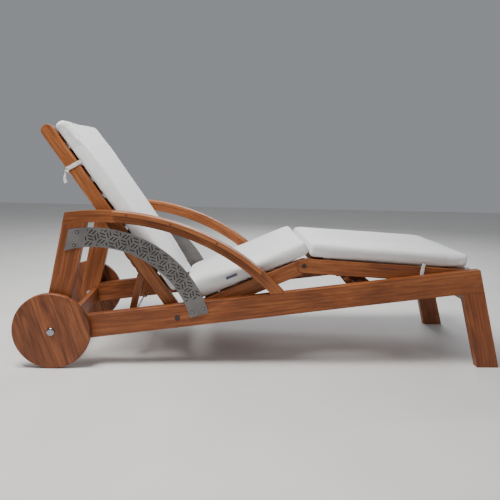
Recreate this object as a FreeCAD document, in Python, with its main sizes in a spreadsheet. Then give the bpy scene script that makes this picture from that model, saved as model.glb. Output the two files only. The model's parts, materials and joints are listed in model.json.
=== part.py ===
"""Reclining sun lounger: timber frame on two wheels, folding back, thigh and calf sections.

Frame: +X points to the foot end, +Z up, Y across (left is +Y for a person lying down).
The origin is on the floor, under the middle of the whole lounger. Stations along the
lounger are given from the wheel axle, because the frame was set out from there.
"""
import FreeCAD, Part
import itertools
import math
import os
import Sketcher
from FreeCAD import Placement, Rotation, Vector

DIMENSIONS = {
    # whole lounger
    "overall_length": 2002, "frame_width": 650, "edge_round": 2,
    # wheels and axles
    "wheel_radius": 153, "wheel_thickness": 26, "wheel_gap": 7, "rim_round": 5,
    "bush_radius": 10, "axle_radius": 6, "axle_nut": 9, "axle_tip": 6,
    "cap_radius": 17, "cap_height": 9, "cap_crown": 7.5,
    # side rails, posts and legs
    "rail_thickness": 38, "rail_depth": 94, "rail_slope": 7.44, "rail_foot_height": 420,
    "post_width": 90, "post_lean": 12.4, "leg_width": 90, "leg_lean": 15.8,
    # arms
    "arm_centre_x": 205, "arm_drop": 345, "arm_outer_radius": 978, "arm_inner_radius": 932,
    "pad_thickness": 17, "pad_width": 62, "pad_foot_angle": 50, "pad_head_angle": 87.9,
    "pad_round": 2.5, "arm_spare_foot": 14, "arm_spare_head": 16, "pad_seat_spare": 5,
    "plug_radius": 4, "plug_height": 0.8,
    # metal panels with sunk slots
    "panel_centre_x": 166.5, "panel_centre_height": 95, "panel_outer_radius": 472,
    "panel_inner_radius": 395, "panel_thickness": 4, "panel_foot_angle": 16.4,
    "panel_corner": 10, "panel_rim": 5, "panel_tab": 51, "panel_foot_tab": 9,
    "panel_inset": 29.5, "cell_edge": 28.3, "slot_width": 4.8, "slot_pitch": 11.4,
    "slot_rib": 7, "slot_depth": 1.6, "weave_turn": 41.5, "weave_x": 247.4,
    "weave_height": 508.4,
    # folding sections
    "section_width": 550, "section_rail": 28, "back_depth": 50, "seat_depth": 60,
    "back_angle": 55.2, "back_length": 886, "back_hinge_x": 494, "back_hinge_height": 205,
    "seat_hinge_x": 556, "seat_hinge_height": 218, "seat_length": 494, "seat_angle": 23.6,
    "calf_length": 713, "calf_fall": 3, "slat_thickness": 18, "slat_width": 56,
    "pivot_radius": 5, "running_gap": 0.05, "side_gap": 0.3, "lap_gap": 1,
    "slat_step": 78, "back_slats_from": 139, "seat_slats_from": 91, "calf_slats_from": 59.5,
    # hinge bolts, their heads sunk in the timber
    "bolt_head": 9, "head_height": 4, "nut_height": 7, "sink_radius": 11, "sink_depth": 5,
    "knee_sink": 4, "knee_head": 3, "knee_nut": 6,
    # screws of the panels, placed by angle and by distance from the panel's middle line
    "screw_flange": 6.2, "flange_height": 0.8, "screw_head": 3.4, "screw_height": 2.2,
    "screw_top_turn": 97.7, "screw_low_turn": 100.5, "screw_foot_turn": 19.4,
    "screw_spread": 23.5, "screw_low_spread": 26.5, "corner_pull": 0.29,
    # props
    "prop_width": 28, "prop_thickness": 18, "prop_bar": 10, "prop_rod": 4,
    "back_prop_x": 290, "back_prop_height": 160, "back_prop_reach": 215,
    "rack_depth": 12, "rack_notch": 3, "rack_pitch": 40, "rack_start": 195, "rack_width": 24,
    "notch_half": 10, "prop_side_gap": 7, "back_prop_gap": 0.6, "knee_prop_gap": 1.2,
    "knee_prop_x": 1262, "knee_prop_height": 281, "knee_prop_reach": 182,
    # crossbars
    "bar_thickness": 22, "bar_depth": 70, "foot_bar_x": 1701, "foot_bar_top": 348,
    "head_bar_x": 33, "head_bar_top": 179, "seat_bar_x": 700, "seat_bar_top": 205,
    "knee_bar_x": 1325, "knee_bar_top": 298,
    # cushions and ties
    "cushion_width": 560, "cushion_lift": 3, "cushion_round": 18,
    "back_cushion_from": 88, "back_cushion_to": 893, "back_cushion_depth": 58,
    "seat_cushion_from": -6, "seat_cushion_to": 521.5, "seat_cushion_depth": 72,
    "calf_cushion_from": 30.5, "calf_cushion_to": 689, "calf_cushion_depth": 72,
    "tie_width": 16, "tie_thickness": 2, "tie_slack": 1,
    "back_tie_from": 716, "calf_tie_from": 480.5,
}

doc = FreeCAD.newDocument("SunLounger")
sheet = doc.addObject("Spreadsheet::Sheet", "Sheet")
for row, (alias, number) in enumerate(DIMENSIONS.items(), start=1):
    sheet.set(f"A{row}", alias)
    sheet.set(f"B{row}", str(number))
    sheet.setAlias(f"B{row}", alias)
doc.recompute()

nodes = []


def size(expression):
    """Value of an expression over the sheet, such as 'rail_depth / 2'."""
    return float(sheet.evalExpression(expression))


def bound(expression):
    """The same expression as another object of the document has to write it."""
    words = sorted(DIMENSIONS, key=len, reverse=True)
    out = expression
    for mark, word in enumerate(words):
        out = out.replace(word, f"<{mark}>")
    for mark, word in enumerate(words):
        out = out.replace(f"<{mark}>", f"Sheet.{word}")
    return out


def bind(item, **properties):
    """Ties properties of an object to expressions over the sheet."""
    for name, expression in properties.items():
        item.setExpression(name, bound(expression))


def keep(item, label):
    """Marks an object as a finished sub-part of the lounger."""
    item.Label = label
    nodes.append(item)
    return item


# ---------------------------------------------------------------- places

AXLE_X = size("wheel_radius - overall_length / 2")
OUTER = size("frame_width / 2")
INNER = size("frame_width / 2 - rail_thickness")
SCREW_PLACES = (("screw_top_turn", "screw_spread"), ("screw_low_turn", "-screw_low_spread"),
                ("screw_foot_turn", "screw_spread"), ("screw_foot_turn", "-screw_spread"))
RAIL_Y = size("frame_width / 2 - rail_thickness / 2")
SECTION_Y = size("section_width / 2 - section_rail / 2")
SIDES = (("left", 1), ("right", -1))
PLUG_SHARES = (0.09, 0.36, 0.665)
TOE_X = size("overall_length - wheel_radius")


def spot(x, y, z):
    """A point given by its station from the axle, its side offset and its height."""
    return Vector(AXLE_X + x, y, z)


def along(x, y, z, angle):
    """A place at a station whose own X axis points up at an angle."""
    return Placement(spot(x, y, z), Rotation(Vector(0, 1, 0), -angle))


def tangent(alias):
    return math.tan(math.radians(size(alias)))


def unit(angle):
    return (math.cos(math.radians(angle)), math.sin(math.radians(angle)))


RAIL_ANGLE = size("rail_slope")
RAIL_HALF = size("rail_depth / 2") / math.cos(math.radians(RAIL_ANGLE))


def rail_height(x, offset=0.0):
    """Height of the side rail's centre line at a station, plus an offset."""
    end_x = TOE_X - size("rail_foot_height") * tangent("leg_lean")
    return size("rail_foot_height") - RAIL_HALF + (x - end_x) * tangent("rail_slope") + offset


# the three folding sections, each a place whose X axis runs along the section
BACK = along(size("back_hinge_x"), 0, size("back_hinge_height"), 180 - size("back_angle"))
SEAT = along(size("seat_hinge_x"), 0, size("seat_hinge_height"), size("seat_angle"))
knee_run, knee_rise = unit(size("seat_angle"))
KNEE_X = size("seat_hinge_x") + size("seat_length") * knee_run
KNEE_Z = size("seat_hinge_height") + size("seat_length") * knee_rise
CALF = along(KNEE_X, 0, KNEE_Z, -size("calf_fall"))


# ---------------------------------------------------------------- builders

def add_board_sketch(body, length, depth, ends, skews, holes):
    """Side view of a board on its centre line, with square, skewed or round ends."""
    sketch = body.newObject("Sketcher::SketchObject", "Outline")
    plane = next(f for f in body.Origin.OriginFeatures if f.Role == "XZ_Plane")
    sketch.AttachmentSupport = (plane, "")
    sketch.MapMode = "FlatFace"
    run, half = size(length), size(depth) / 2
    lean = [size(skew) / 2 for skew in skews]
    corners = [Vector(-lean[0], -half, 0), Vector(run - lean[1], -half, 0),
               Vector(run + lean[1], half, 0), Vector(lean[0], half, 0)]
    sketch.addGeometry(Part.LineSegment(corners[0], corners[1]))
    if ends[1] == "round":
        circle = Part.Circle(Vector(run, 0, 0), Vector(0, 0, 1), half)
        sketch.addGeometry(Part.ArcOfCircle(circle, -math.pi / 2, math.pi / 2))
    else:
        sketch.addGeometry(Part.LineSegment(corners[1], corners[2]))
    sketch.addGeometry(Part.LineSegment(corners[2], corners[3]))
    if ends[0] == "round":
        circle = Part.Circle(Vector(0, 0, 0), Vector(0, 0, 1), half)
        sketch.addGeometry(Part.ArcOfCircle(circle, math.pi / 2, 3 * math.pi / 2))
    else:
        sketch.addGeometry(Part.LineSegment(corners[3], corners[0]))
    sketch.addConstraint(Sketcher.Constraint("Horizontal", 0))
    sketch.addConstraint(Sketcher.Constraint("Horizontal", 2))

    def measure(kind, *where, expression):
        """Adds a dimension and ties it to the sheet."""
        index = sketch.addConstraint(Sketcher.Constraint(kind, *where, size(expression)))
        sketch.setExpression(f"Constraints[{index}]", bound(expression))

    if ends[0] == "round":
        sketch.addConstraint(Sketcher.Constraint("Tangent", 2, 2, 3, 1))
        sketch.addConstraint(Sketcher.Constraint("Tangent", 3, 2, 0, 1))
        sketch.addConstraint(Sketcher.Constraint("Coincident", 3, 3, -1, 1))
        measure("Radius", 3, expression=f"{depth} / 2")
    else:
        sketch.addConstraint(Sketcher.Constraint("Coincident", 2, 2, 3, 1))
        sketch.addConstraint(Sketcher.Constraint("Coincident", 3, 2, 0, 1))
        sketch.addConstraint(Sketcher.Constraint("Symmetric", 3, 1, 3, 2, -1, 1))
        measure("DistanceY", 3, 2, 3, 1, expression=depth)
        if lean[0]:
            measure("DistanceX", 3, 2, 3, 1, expression=skews[0])
        else:
            sketch.addConstraint(Sketcher.Constraint("Vertical", 3))
    if ends[1] == "round":
        sketch.addConstraint(Sketcher.Constraint("Tangent", 0, 2, 1, 1))
        sketch.addConstraint(Sketcher.Constraint("Tangent", 1, 2, 2, 1))
        measure("DistanceX", -1, 1, 1, 3, expression=length)
    else:
        sketch.addConstraint(Sketcher.Constraint("Coincident", 0, 2, 1, 1))
        sketch.addConstraint(Sketcher.Constraint("Coincident", 1, 2, 2, 1))
        measure("DistanceX", -1, 1, 1, 1, expression=f"{length} - ({skews[1]}) / 2")
        if lean[1]:
            measure("DistanceX", 1, 1, 1, 2, expression=skews[1])
        else:
            sketch.addConstraint(Sketcher.Constraint("Vertical", 1))
    for station, offset, radius in holes:
        centre = Vector(size(station), size(offset), 0)
        hole = sketch.addGeometry(Part.Circle(centre, Vector(0, 0, 1), size(radius)))
        measure("DistanceX", -1, 1, hole, 3, expression=station)
        measure("DistanceY", -1, 1, hole, 3, expression=offset)
        measure("Radius", hole, expression=radius)
    return sketch


def board(name, place, length, depth, thickness, ends=("square", "square"),
          skews=("0", "0"), holes=(), rounding="edge_round"):
    """A board seen from the side, padded both ways from its middle, arrises rounded."""
    body = doc.addObject("PartDesign::Body", name)
    sketch = add_board_sketch(body, length, depth, ends, skews, holes)
    pad = body.newObject("PartDesign::Pad", "Thickness")
    pad.Profile = sketch
    pad.Midplane = True
    bind(pad, Length=thickness)
    doc.recompute()
    if rounding:
        fillet = body.newObject("PartDesign::Fillet", "Arrises")
        fillet.Base = (pad, ["Edge1"])
        fillet.UseAllEdges = True
        bind(fillet, Radius=rounding)
        body.Tip = fillet
    sketch.Visibility = False
    body.Placement = place
    return body


def box(name, place, length, width, height, rounding=None):
    """A block with its own X, Y and Z sizes, centred across Y, with rounded edges."""
    block = doc.addObject("Part::Box", name)
    bind(block, Length=length, Width=width, Height=height)
    block.Placement = place.multiply(Placement(Vector(0, -size(width) / 2, 0), Rotation()))
    if not rounding:
        return block
    doc.recompute()
    fillet = doc.addObject("Part::Fillet", name + "_rounded")
    fillet.Base = block
    radius = size(rounding)
    fillet.Edges = [(edge, radius, radius) for edge in range(1, 13)]
    return fillet


def rod(name, x, y, z, radius, length):
    """A round bar along Y that starts at y and runs towards +Y."""
    bar = doc.addObject("Part::Cylinder", name)
    bind(bar, Radius=radius, Height=length)
    bar.Placement = Placement(spot(x, y, z), Rotation(Vector(1, 0, 0), -90))
    return bar


def outward(name, sign, x, y, z, radius, length):
    """A round bar along Y that starts y from the middle and runs out to its own side."""
    start = y if sign > 0 else -y - size(length)
    return rod(name, x, start, z, radius, length)


def boolean(kind, name, first, second):
    """Part::Cut, Part::Fuse or Part::Common of two objects."""
    item = doc.addObject(kind, name)
    item.Base = first
    item.Tool = second
    return item


def group(name, pieces):
    """Several separate pieces that share one node."""
    item = doc.addObject("Part::Compound", name)
    item.Links = pieces
    return keep(item, name)


def ring(name, side, centre, radii, angles, thickness):
    """A flat curved bar about a centre, between two angles from the floor line."""
    discs = []
    for number, radius in enumerate(radii):
        disc = doc.addObject("Part::Cylinder", f"{name}_disc_{number}")
        bind(disc, Radius=radius, Height=thickness, Angle=f"{angles[1]} - ({angles[0]})")
        turn = Rotation(Vector(1, 0, 0), 90).multiply(Rotation(Vector(0, 0, 1), size(angles[0])))
        disc.Placement = Placement(spot(centre[0], side, centre[1]), turn)
        discs.append(disc)
    return boolean("Part::Cut", name, discs[0], discs[1])


# ---------------------------------------------------------------- fixed frame

def settle(start, step):
    """Repeats a step until a value that depends on itself has settled."""
    value = start
    for _ in range(8):
        value = step(value)
    return value


def make_side_rails():
    """Sloping rails, butted on the posts and cut to the slant of the legs."""
    post_edge = size("post_width / 2") / math.cos(math.radians(size("post_lean")))
    start_x = settle(post_edge, lambda x: post_edge + tangent("post_lean")
                     * (rail_height(x) - size("wheel_radius")))
    end_x = settle(TOE_X, lambda x: TOE_X - tangent("leg_lean") * rail_height(x))
    cosine, sine = unit(RAIL_ANGLE)
    length = f"{(end_x - start_x) / cosine:.4f}"
    holes = []
    for hinge in ("back", "seat"):
        dx = size(f"{hinge}_hinge_x") - start_x
        dz = size(f"{hinge}_hinge_height") - rail_height(start_x)
        holes.append((f"{dx * cosine + dz * sine:.4f}", f"{dz * cosine - dx * sine:.4f}",
                      "pivot_radius"))
    skews = ("rail_depth * tan(post_lean + rail_slope)",
             "-rail_depth * tan(leg_lean - rail_slope)")
    for side, sign in SIDES:
        place = along(start_x, sign * RAIL_Y, rail_height(start_x), RAIL_ANGLE)
        rail = board(f"side_board_{side}", place, length, "rail_depth", "rail_thickness",
                     skews=skews, holes=holes)
        for hinge in ("back", "seat"):
            sink = outward(f"{hinge}_sink_{side}", sign, size(f"{hinge}_hinge_x"),
                           OUTER - size("sink_depth"), size(f"{hinge}_hinge_height"),
                           "sink_radius", "sink_depth")
            rail = boolean("Part::Cut", f"side_rail_{side}_{hinge}", rail, sink)
        keep(rail, f"side_rail_{side}")


def make_posts():
    """Rear posts with a round lower end about the axle, trimmed under the arms."""
    for side, sign in SIDES:
        place = along(0, sign * RAIL_Y, size("wheel_radius"), 90 - size("post_lean"))
        blank = board(f"post_blank_{side}", place, "arm_outer_radius / 2", "post_width",
                      "rail_thickness", ends=("round", "square"),
                      holes=[("0", "0", "axle_radius")])
        under_arm = rod(f"under_arm_{side}", size("arm_centre_x"), -OUTER, -size("arm_drop"),
                        "arm_inner_radius", "frame_width")
        keep(boolean("Part::Common", f"rear_post_{side}", blank, under_arm),
             f"rear_post_{side}")


def make_legs():
    """Foot legs that splay outwards, butted under the ends of the rails."""
    bottom_x = TOE_X - size("leg_width / 2") / math.cos(math.radians(size("leg_lean")))
    top_x = settle(bottom_x, lambda x: bottom_x - tangent("leg_lean")
                   * rail_height(x, -RAIL_HALF))
    run = math.hypot(bottom_x - top_x, rail_height(top_x, -RAIL_HALF))
    for side, sign in SIDES:
        place = along(bottom_x, sign * RAIL_Y, 0, 90 + size("leg_lean"))
        leg = board(f"foot_leg_{side}", place, f"{run:.4f}", "leg_width", "rail_thickness",
                    skews=("leg_width * tan(leg_lean)",
                           "leg_width * tan(leg_lean - rail_slope)"))
        keep(leg, f"foot_leg_{side}")


def make_arms():
    """Curved arm beams with a wider pad let in along the top, held by plugged screws."""
    centre = (size("arm_centre_x"), -size("arm_drop"))
    post_half = size("post_width / 2") / math.cos(math.radians(size("post_lean")))
    behind = box("behind_posts", along(-post_half, 0, size("wheel_radius"),
                                       90 - size("post_lean")),
                 "overall_length", "frame_width * 2", "overall_length")
    below_place = along(0, 0, rail_height(0, RAIL_HALF), RAIL_ANGLE)
    drop = Placement(Vector(0, 0, -size("rail_depth * 3")), Rotation())
    below = box("below_rails", below_place.multiply(drop), "overall_length",
                "frame_width * 2", "rail_depth * 3")
    plugs = []
    for side, sign in SIDES:
        start = OUTER if sign > 0 else -INNER
        blank = ring(f"arm_blank_{side}", start, centre,
                     ("arm_outer_radius", "arm_inner_radius"),
                     ("pad_foot_angle - arm_spare_foot", "pad_head_angle + arm_spare_head"),
                     "rail_thickness")
        seat = ring(f"pad_seat_{side}", start, centre,
                    ("arm_outer_radius + pad_seat_spare", "arm_outer_radius - pad_thickness"),
                    ("pad_foot_angle", "pad_head_angle"), "rail_thickness")
        housed = boolean("Part::Cut", f"arm_housed_{side}", blank, seat)
        squared = boolean("Part::Cut", f"arm_squared_{side}", housed, behind)
        keep(boolean("Part::Cut", f"arm_beam_{side}", squared, below), f"arm_beam_{side}")
        pad_start = INNER + size("pad_width") if sign > 0 else -INNER
        pad = ring(f"pad_blank_{side}", pad_start, centre,
                   ("arm_outer_radius", "arm_outer_radius - pad_thickness"),
                   ("pad_foot_angle", "pad_head_angle"), "pad_width")
        doc.recompute()
        eased = doc.addObject("Part::Fillet", f"arm_pad_{side}")
        eased.Base = pad
        easing = size("pad_round")
        eased.Edges = [(n + 1, easing, easing) for n in range(len(pad.Shape.Edges))]
        keep(eased, f"arm_pad_{side}")
        radius = size("arm_outer_radius - pad_thickness / 2 - pad_round")
        for share in PLUG_SHARES:
            turn = size("pad_head_angle") - share * size("pad_head_angle - pad_foot_angle")
            cosine, sine = unit(turn)
            plugs.append(outward(f"plug_{side}_{len(plugs)}", sign,
                                 centre[0] + radius * cosine, INNER + size("pad_width"),
                                 centre[1] + radius * sine, "plug_radius", "plug_height"))
    group("arm_plugs", plugs)


def in_panel(x, z):
    """Whether a point lies in the slotted field, clear of the rim and both tabs."""
    dx, dz = x - size("panel_centre_x"), z - size("panel_centre_height")
    low = size("panel_inner_radius + panel_rim")
    high = size("panel_outer_radius - panel_rim")
    level = math.degrees(math.atan2(dz, dx))
    clear_foot = level > size("panel_foot_angle + panel_foot_tab")
    from_post = x - tangent("post_lean") * (z - size("wheel_radius"))
    clear_tabs = from_post > size("panel_tab") and clear_foot
    return low < math.hypot(dx, dz) < high and clear_tabs and dz > 0


def panel_slots():
    """Corner points of every slot: rhombic cells in three directions, two slots each."""
    centre = (size("panel_centre_x"), size("panel_centre_height"))
    origin = (size("weave_x"), size("weave_height"))
    edge = size("cell_edge")
    ways = [unit(size("weave_turn") + 120 * k) for k in range(3)]
    first = [edge * (ways[0][i] - ways[1][i]) for i in (0, 1)]
    second = [edge * (ways[1][i] - ways[2][i]) for i in (0, 1)]
    rise = size("slot_pitch") / math.sin(math.radians(60))
    reach = math.ceil(size("2 * panel_outer_radius / cell_edge"))
    slots = []
    for i, j in itertools.product(range(-reach, reach + 1), repeat=2):
        corner = [origin[k] + i * first[k] + j * second[k] for k in (0, 1)]
        if not cell_is_near(corner, centre):
            continue
        for k, row in itertools.product(range(3), (-0.5, 0.5)):
            run, climb = ways[k], ways[(k + 1) % 3]
            base = [corner[n] + climb[n] * (edge / 2 + row * rise) for n in (0, 1)]
            slot = clipped_slot(base, run, climb)
            if slot:
                slots.append(slot)
    return slots


def cell_is_near(corner, centre):
    """Whether a cell lies close enough to the panel for its slots to be worth testing."""
    reach = math.dist(corner, centre)
    spare = size("cell_edge * 2")
    return size("panel_inner_radius") - spare < reach < size("panel_outer_radius") + spare


def clipped_slot(base, run, climb):
    """The stretch of one slot that stays inside the slotted field, or None."""
    half = size("slot_width") / 2 / math.sin(math.radians(60))
    begin, finish = size("slot_rib / 2"), size("cell_edge - slot_rib / 2")

    def point(reach, side):
        return [base[n] + run[n] * reach + climb[n] * side for n in (0, 1)]

    tests = 13
    kept = []
    for step in range(tests):
        reach = begin + (finish - begin) * step / (tests - 1)
        if in_panel(*point(reach, -half)) and in_panel(*point(reach, half)):
            kept.append(reach)
    if len(kept) < tests // 4:
        return None
    return [point(kept[0], -half), point(kept[-1], -half), point(kept[-1], half),
            point(kept[0], half)]


def panel_head_angle(radius):
    """Angle at which an edge of the panel meets its end line on the post."""
    post_half = size("post_width / 2") / math.cos(math.radians(size("post_lean")))
    inset = post_half - size("panel_inset")

    def step(angle):
        height = size("panel_centre_height") + radius * unit(angle)[1]
        x = tangent("post_lean") * (height - size("wheel_radius")) - inset
        return math.degrees(math.acos((x - size("panel_centre_x")) / radius))

    return settle(95.0, step)


def panel_outline(point):
    """Edges of a panel: two arcs about its centre, and two ends with rounded corners."""
    radii = (size("panel_inner_radius"), size("panel_outer_radius"))
    corner = size("panel_corner")
    foot = size("panel_foot_angle")
    heads = [panel_head_angle(radius) for radius in radii]
    trims = [math.degrees(corner / radius) for radius in radii]
    arcs = []
    for radius, head, trim in zip(radii, heads, trims):
        arcs.append([point(radius, angle) for angle in
                     (foot + trim, (foot + head) / 2, head - trim)])
    inner, outer = arcs
    edges = [Part.Arc(*inner).toShape(), Part.Arc(*outer).toShape()]
    edges += rounded_end(inner[2], point(radii[0], heads[0]), point(radii[1], heads[1]), outer[2])
    edges += rounded_end(outer[0], point(radii[1], foot), point(radii[0], foot), inner[0])
    return edges


def rounded_end(start, first, last, finish):
    """End line of a panel between two corners, with both corners rounded off."""
    toward = (last - first).normalize() * size("panel_corner")
    leave, arrive = first + toward, last - toward
    pull = size("corner_pull")
    near = (start + leave) * (pull / 2) + first * (1 - pull)
    far = (arrive + finish) * (pull / 2) + last * (1 - pull)
    return [Part.Arc(start, near, leave).toShape(), Part.LineSegment(leave, arrive).toShape(),
            Part.Arc(arrive, far, finish).toShape()]


def flanged_screw(name, sign, x, z):
    """Head of a panel screw: a flat flange with a smaller button standing on it."""
    face = size("frame_width / 2 + panel_thickness")
    flange = outward(f"{name}_flange", sign, x, face, z, "screw_flange", "flange_height")
    button = outward(f"{name}_button", sign, x, face, z, "screw_head", "screw_height")
    return boolean("Part::Fuse", name, flange, button)


def make_panels():
    """Metal panels with sunk slots, screwed to the outer faces of the posts and rails."""
    centre = (size("panel_centre_x"), size("panel_centre_height"))
    thickness = size("panel_thickness")
    middle = size("(panel_inner_radius + panel_outer_radius) / 2")
    slots = panel_slots()
    screws = []
    for side, sign in SIDES:
        outward_step = Vector(0, sign * thickness, 0)

        def point(radius, angle):
            cosine, sine = unit(angle)
            return spot(centre[0] + radius * cosine, sign * OUTER, centre[1] + radius * sine)

        plate = Part.Face(Part.Wire(Part.__sortEdges__(panel_outline(point))))
        cuts = []
        for slot in slots:
            corners = [spot(x, sign * (OUTER + thickness), z) for x, z in slot]
            mouth = Part.Face(Part.makePolygon(corners + corners[:1]))
            cuts.append(mouth.extrude(Vector(0, -sign * size("slot_depth"), 0)))
        panel = doc.addObject("Part::Feature", f"arm_panel_{side}")
        panel.Shape = plate.extrude(outward_step).cut(Part.makeCompound(cuts)).Solids[0]
        keep(panel, f"arm_panel_{side}")
        for turn, offset in SCREW_PLACES:
            place = point(middle + size(offset), size(turn))
            screws.append(flanged_screw(f"screw_{side}_{len(screws)}", sign,
                                        place.x - AXLE_X, place.z))
    group("panel_screws", screws)


def make_crossbars():
    """Boards that join the two sides under the folding sections."""
    span = "frame_width - 2 * rail_thickness"
    for name, key in (("head_crossbar", "head_bar"), ("foot_crossbar", "foot_bar")):
        x = size(f"{key}_x - bar_thickness / 2")
        bar = box(name + "_block", along(x, 0, size(f"{key}_top - bar_depth"), 0),
                  "bar_thickness", span, "bar_depth", "edge_round")
        keep(bar, name)
    for name, key in (("seat_crossbar", "seat_bar"), ("knee_crossbar", "knee_bar")):
        x = size(f"{key}_x - bar_depth / 2")
        drop = size("bar_depth / 2") * tangent("rail_slope") + size("bar_thickness")
        bar = box(name + "_block", along(x, 0, size(f"{key}_top") - drop, RAIL_ANGLE),
                  "bar_depth", span, "bar_thickness", "edge_round")
        keep(bar, name)


def make_pivot_bolts():
    """Bolts of the back and seat hinges, sunk in the rails, with their nuts and spacers."""
    gap = "frame_width / 2 - rail_thickness - section_width / 2"
    spacers = []
    for hinge in ("back", "seat"):
        x, z = size(f"{hinge}_hinge_x"), size(f"{hinge}_hinge_height")
        bolts = []
        for side, sign in SIDES:
            inside = size("section_width / 2 - section_rail - side_gap")
            under_head = OUTER - size("sink_depth")
            parts = [
                outward(f"{hinge}_shank_{side}", sign, x, inside, z, "pivot_radius",
                        f"{gap} + section_rail + side_gap + rail_thickness - sink_depth"),
                outward(f"{hinge}_head_{side}", sign, x, under_head, z, "bolt_head",
                        "head_height"),
                outward(f"{hinge}_nut_{side}", sign, x, inside - size("nut_height"), z,
                        "bolt_head", "nut_height")]
            bolt = doc.addObject("Part::MultiFuse", f"{hinge}_bolt_{side}")
            bolt.Shapes = parts
            bolts.append(bolt)
            start = size("section_width / 2 + side_gap")
            sleeve = outward(f"{hinge}_sleeve_{side}", sign, x, start, z, "sink_radius",
                             f"{gap} - side_gap")
            bore = outward(f"{hinge}_bore_{side}", sign, x, start, z, "pivot_radius",
                           f"{gap} - side_gap")
            spacers.append(boolean("Part::Cut", f"{hinge}_spacer_{side}", sleeve, bore))
        group(f"{hinge}_hinge_bolts", bolts)
    group("hinge_spacers", spacers)


def outer_circles(item, wanted):
    """Numbers of the circular edges of a shape that a test picks out."""
    doc.recompute()
    return [n + 1 for n, edge in enumerate(item.Shape.Edges)
            if isinstance(edge.Curve, Part.Circle) and wanted(edge)]


def make_wheels():
    """Solid timber wheels on plastic bushes, each on a stub axle through its post."""
    z = size("wheel_radius")
    face = size("frame_width / 2 + wheel_gap + wheel_thickness")
    washers = []
    caps = []
    for side, sign in SIDES:
        near = size("frame_width / 2 + wheel_gap")
        disc = outward(f"wheel_disc_{side}", sign, 0, near, z, "wheel_radius", "wheel_thickness")
        bore = outward(f"wheel_bore_{side}", sign, 0, near, z, "bush_radius", "wheel_thickness")
        cored = boolean("Part::Cut", f"wheel_cored_{side}", disc, bore)
        rim = doc.addObject("Part::Fillet", f"wheel_{side}")
        rim.Base = cored
        rims = outer_circles(cored, lambda edge: edge.Curve.Radius > z - 1)
        rim.Edges = [(number, size("rim_round"), size("rim_round")) for number in rims]
        keep(rim, f"wheel_{side}")
        shell = outward(f"bush_shell_{side}", sign, 0, near, z, "bush_radius",
                        "wheel_thickness")
        hole = outward(f"bush_hole_{side}", sign, 0, near, z, "axle_radius + running_gap",
                       "wheel_thickness")
        keep(boolean("Part::Cut", f"wheel_bush_{side}", shell, hole), f"wheel_bush_{side}")
        inner_end = INNER - size("axle_nut")
        axle = outward(f"axle_shank_{side}", sign, 0, inner_end, z, "axle_radius",
                       "axle_nut + rail_thickness + wheel_gap + wheel_thickness + axle_tip")
        nut = outward(f"axle_nut_{side}", sign, 0, inner_end, z, "bolt_head + 2", "axle_nut")
        keep(boolean("Part::Fuse", f"axle_{side}", axle, nut), f"axle_{side}")
        plate = outward(f"washer_plate_{side}", sign, 0, OUTER, z, "cap_radius",
                        "wheel_gap - side_gap")
        eye = outward(f"washer_eye_{side}", sign, 0, OUTER, z, "axle_radius",
                      "wheel_gap - side_gap")
        washers.append(boolean("Part::Cut", f"washer_{side}", plate, eye))
        cap_y = face + size("side_gap")
        dome = outward(f"cap_dome_{side}", sign, 0, cap_y, z, "cap_radius", "cap_height")
        crown = doc.addObject("Part::Fillet", f"cap_crown_{side}")
        crown.Base = dome
        crest = sign * (cap_y + size("cap_height"))
        tops = outer_circles(dome, lambda edge: abs(edge.Curve.Center.y - crest) < 1)
        crown.Edges = [(number, size("cap_crown"), size("cap_crown")) for number in tops]
        socket = outward(f"cap_socket_{side}", sign, 0, cap_y, z, "axle_radius",
                         "axle_tip - side_gap")
        caps.append(boolean("Part::Cut", f"cap_{side}", crown, socket))
    group("axle_washers", washers)
    group("axle_caps", caps)


# ---------------------------------------------------------------- folding sections

def make_slats(section, place, count, depth):
    """Evenly spaced slats let in flush with the tops of a section's rails."""
    span = "section_width - 2 * section_rail"
    pieces = []
    for number in range(count):
        station = size(f"{section}_slats_from + slat_step * {number} - slat_width / 2")
        local = Placement(Vector(station, 0, size(f"{depth} / 2 - slat_thickness")), Rotation())
        pieces.append(box(f"{section}_slat_{number}", place.multiply(local), "slat_width", span,
                          "slat_thickness", "edge_round"))
    group(f"{section}_slats", pieces)


def make_cushion(section, place, depth):
    """Plain block of a cushion, a little above its rails."""
    cushion = f"{section}_cushion"
    start = Vector(size(f"{cushion}_from"), 0, size(f"{depth} / 2 + cushion_lift"))
    block = box(f"{cushion}_block", place.multiply(Placement(start, Rotation())),
                f"{cushion}_to - ({cushion}_from)", "cushion_width", f"{cushion}_depth",
                "cushion_round")
    keep(block, cushion)


def make_ties(section, place, depth):
    """Flat fabric loops that hold a cushion to the rails of its section."""
    room = f"{depth} + tie_slack"
    loops = []
    for side, sign in SIDES:
        start = size(f"{section}_tie_from")
        local = Vector(start, sign * SECTION_Y, -size(f"{room} + 2 * tie_thickness") / 2)
        outer = box(f"{section}_tie_outer_{side}", place.multiply(Placement(local, Rotation())),
                    "tie_width", "section_rail + tie_slack + 2 * tie_thickness",
                    f"{room} + 2 * tie_thickness")
        local = Vector(start - size("tie_thickness"), sign * SECTION_Y, -size(room) / 2)
        inner = box(f"{section}_tie_inner_{side}", place.multiply(Placement(local, Rotation())),
                    "tie_width + 2 * tie_thickness", "section_rail + tie_slack", room)
        loops.append(boolean("Part::Cut", f"{section}_tie_loop_{side}", outer, inner))
    group(f"{section}_ties", loops)


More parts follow.
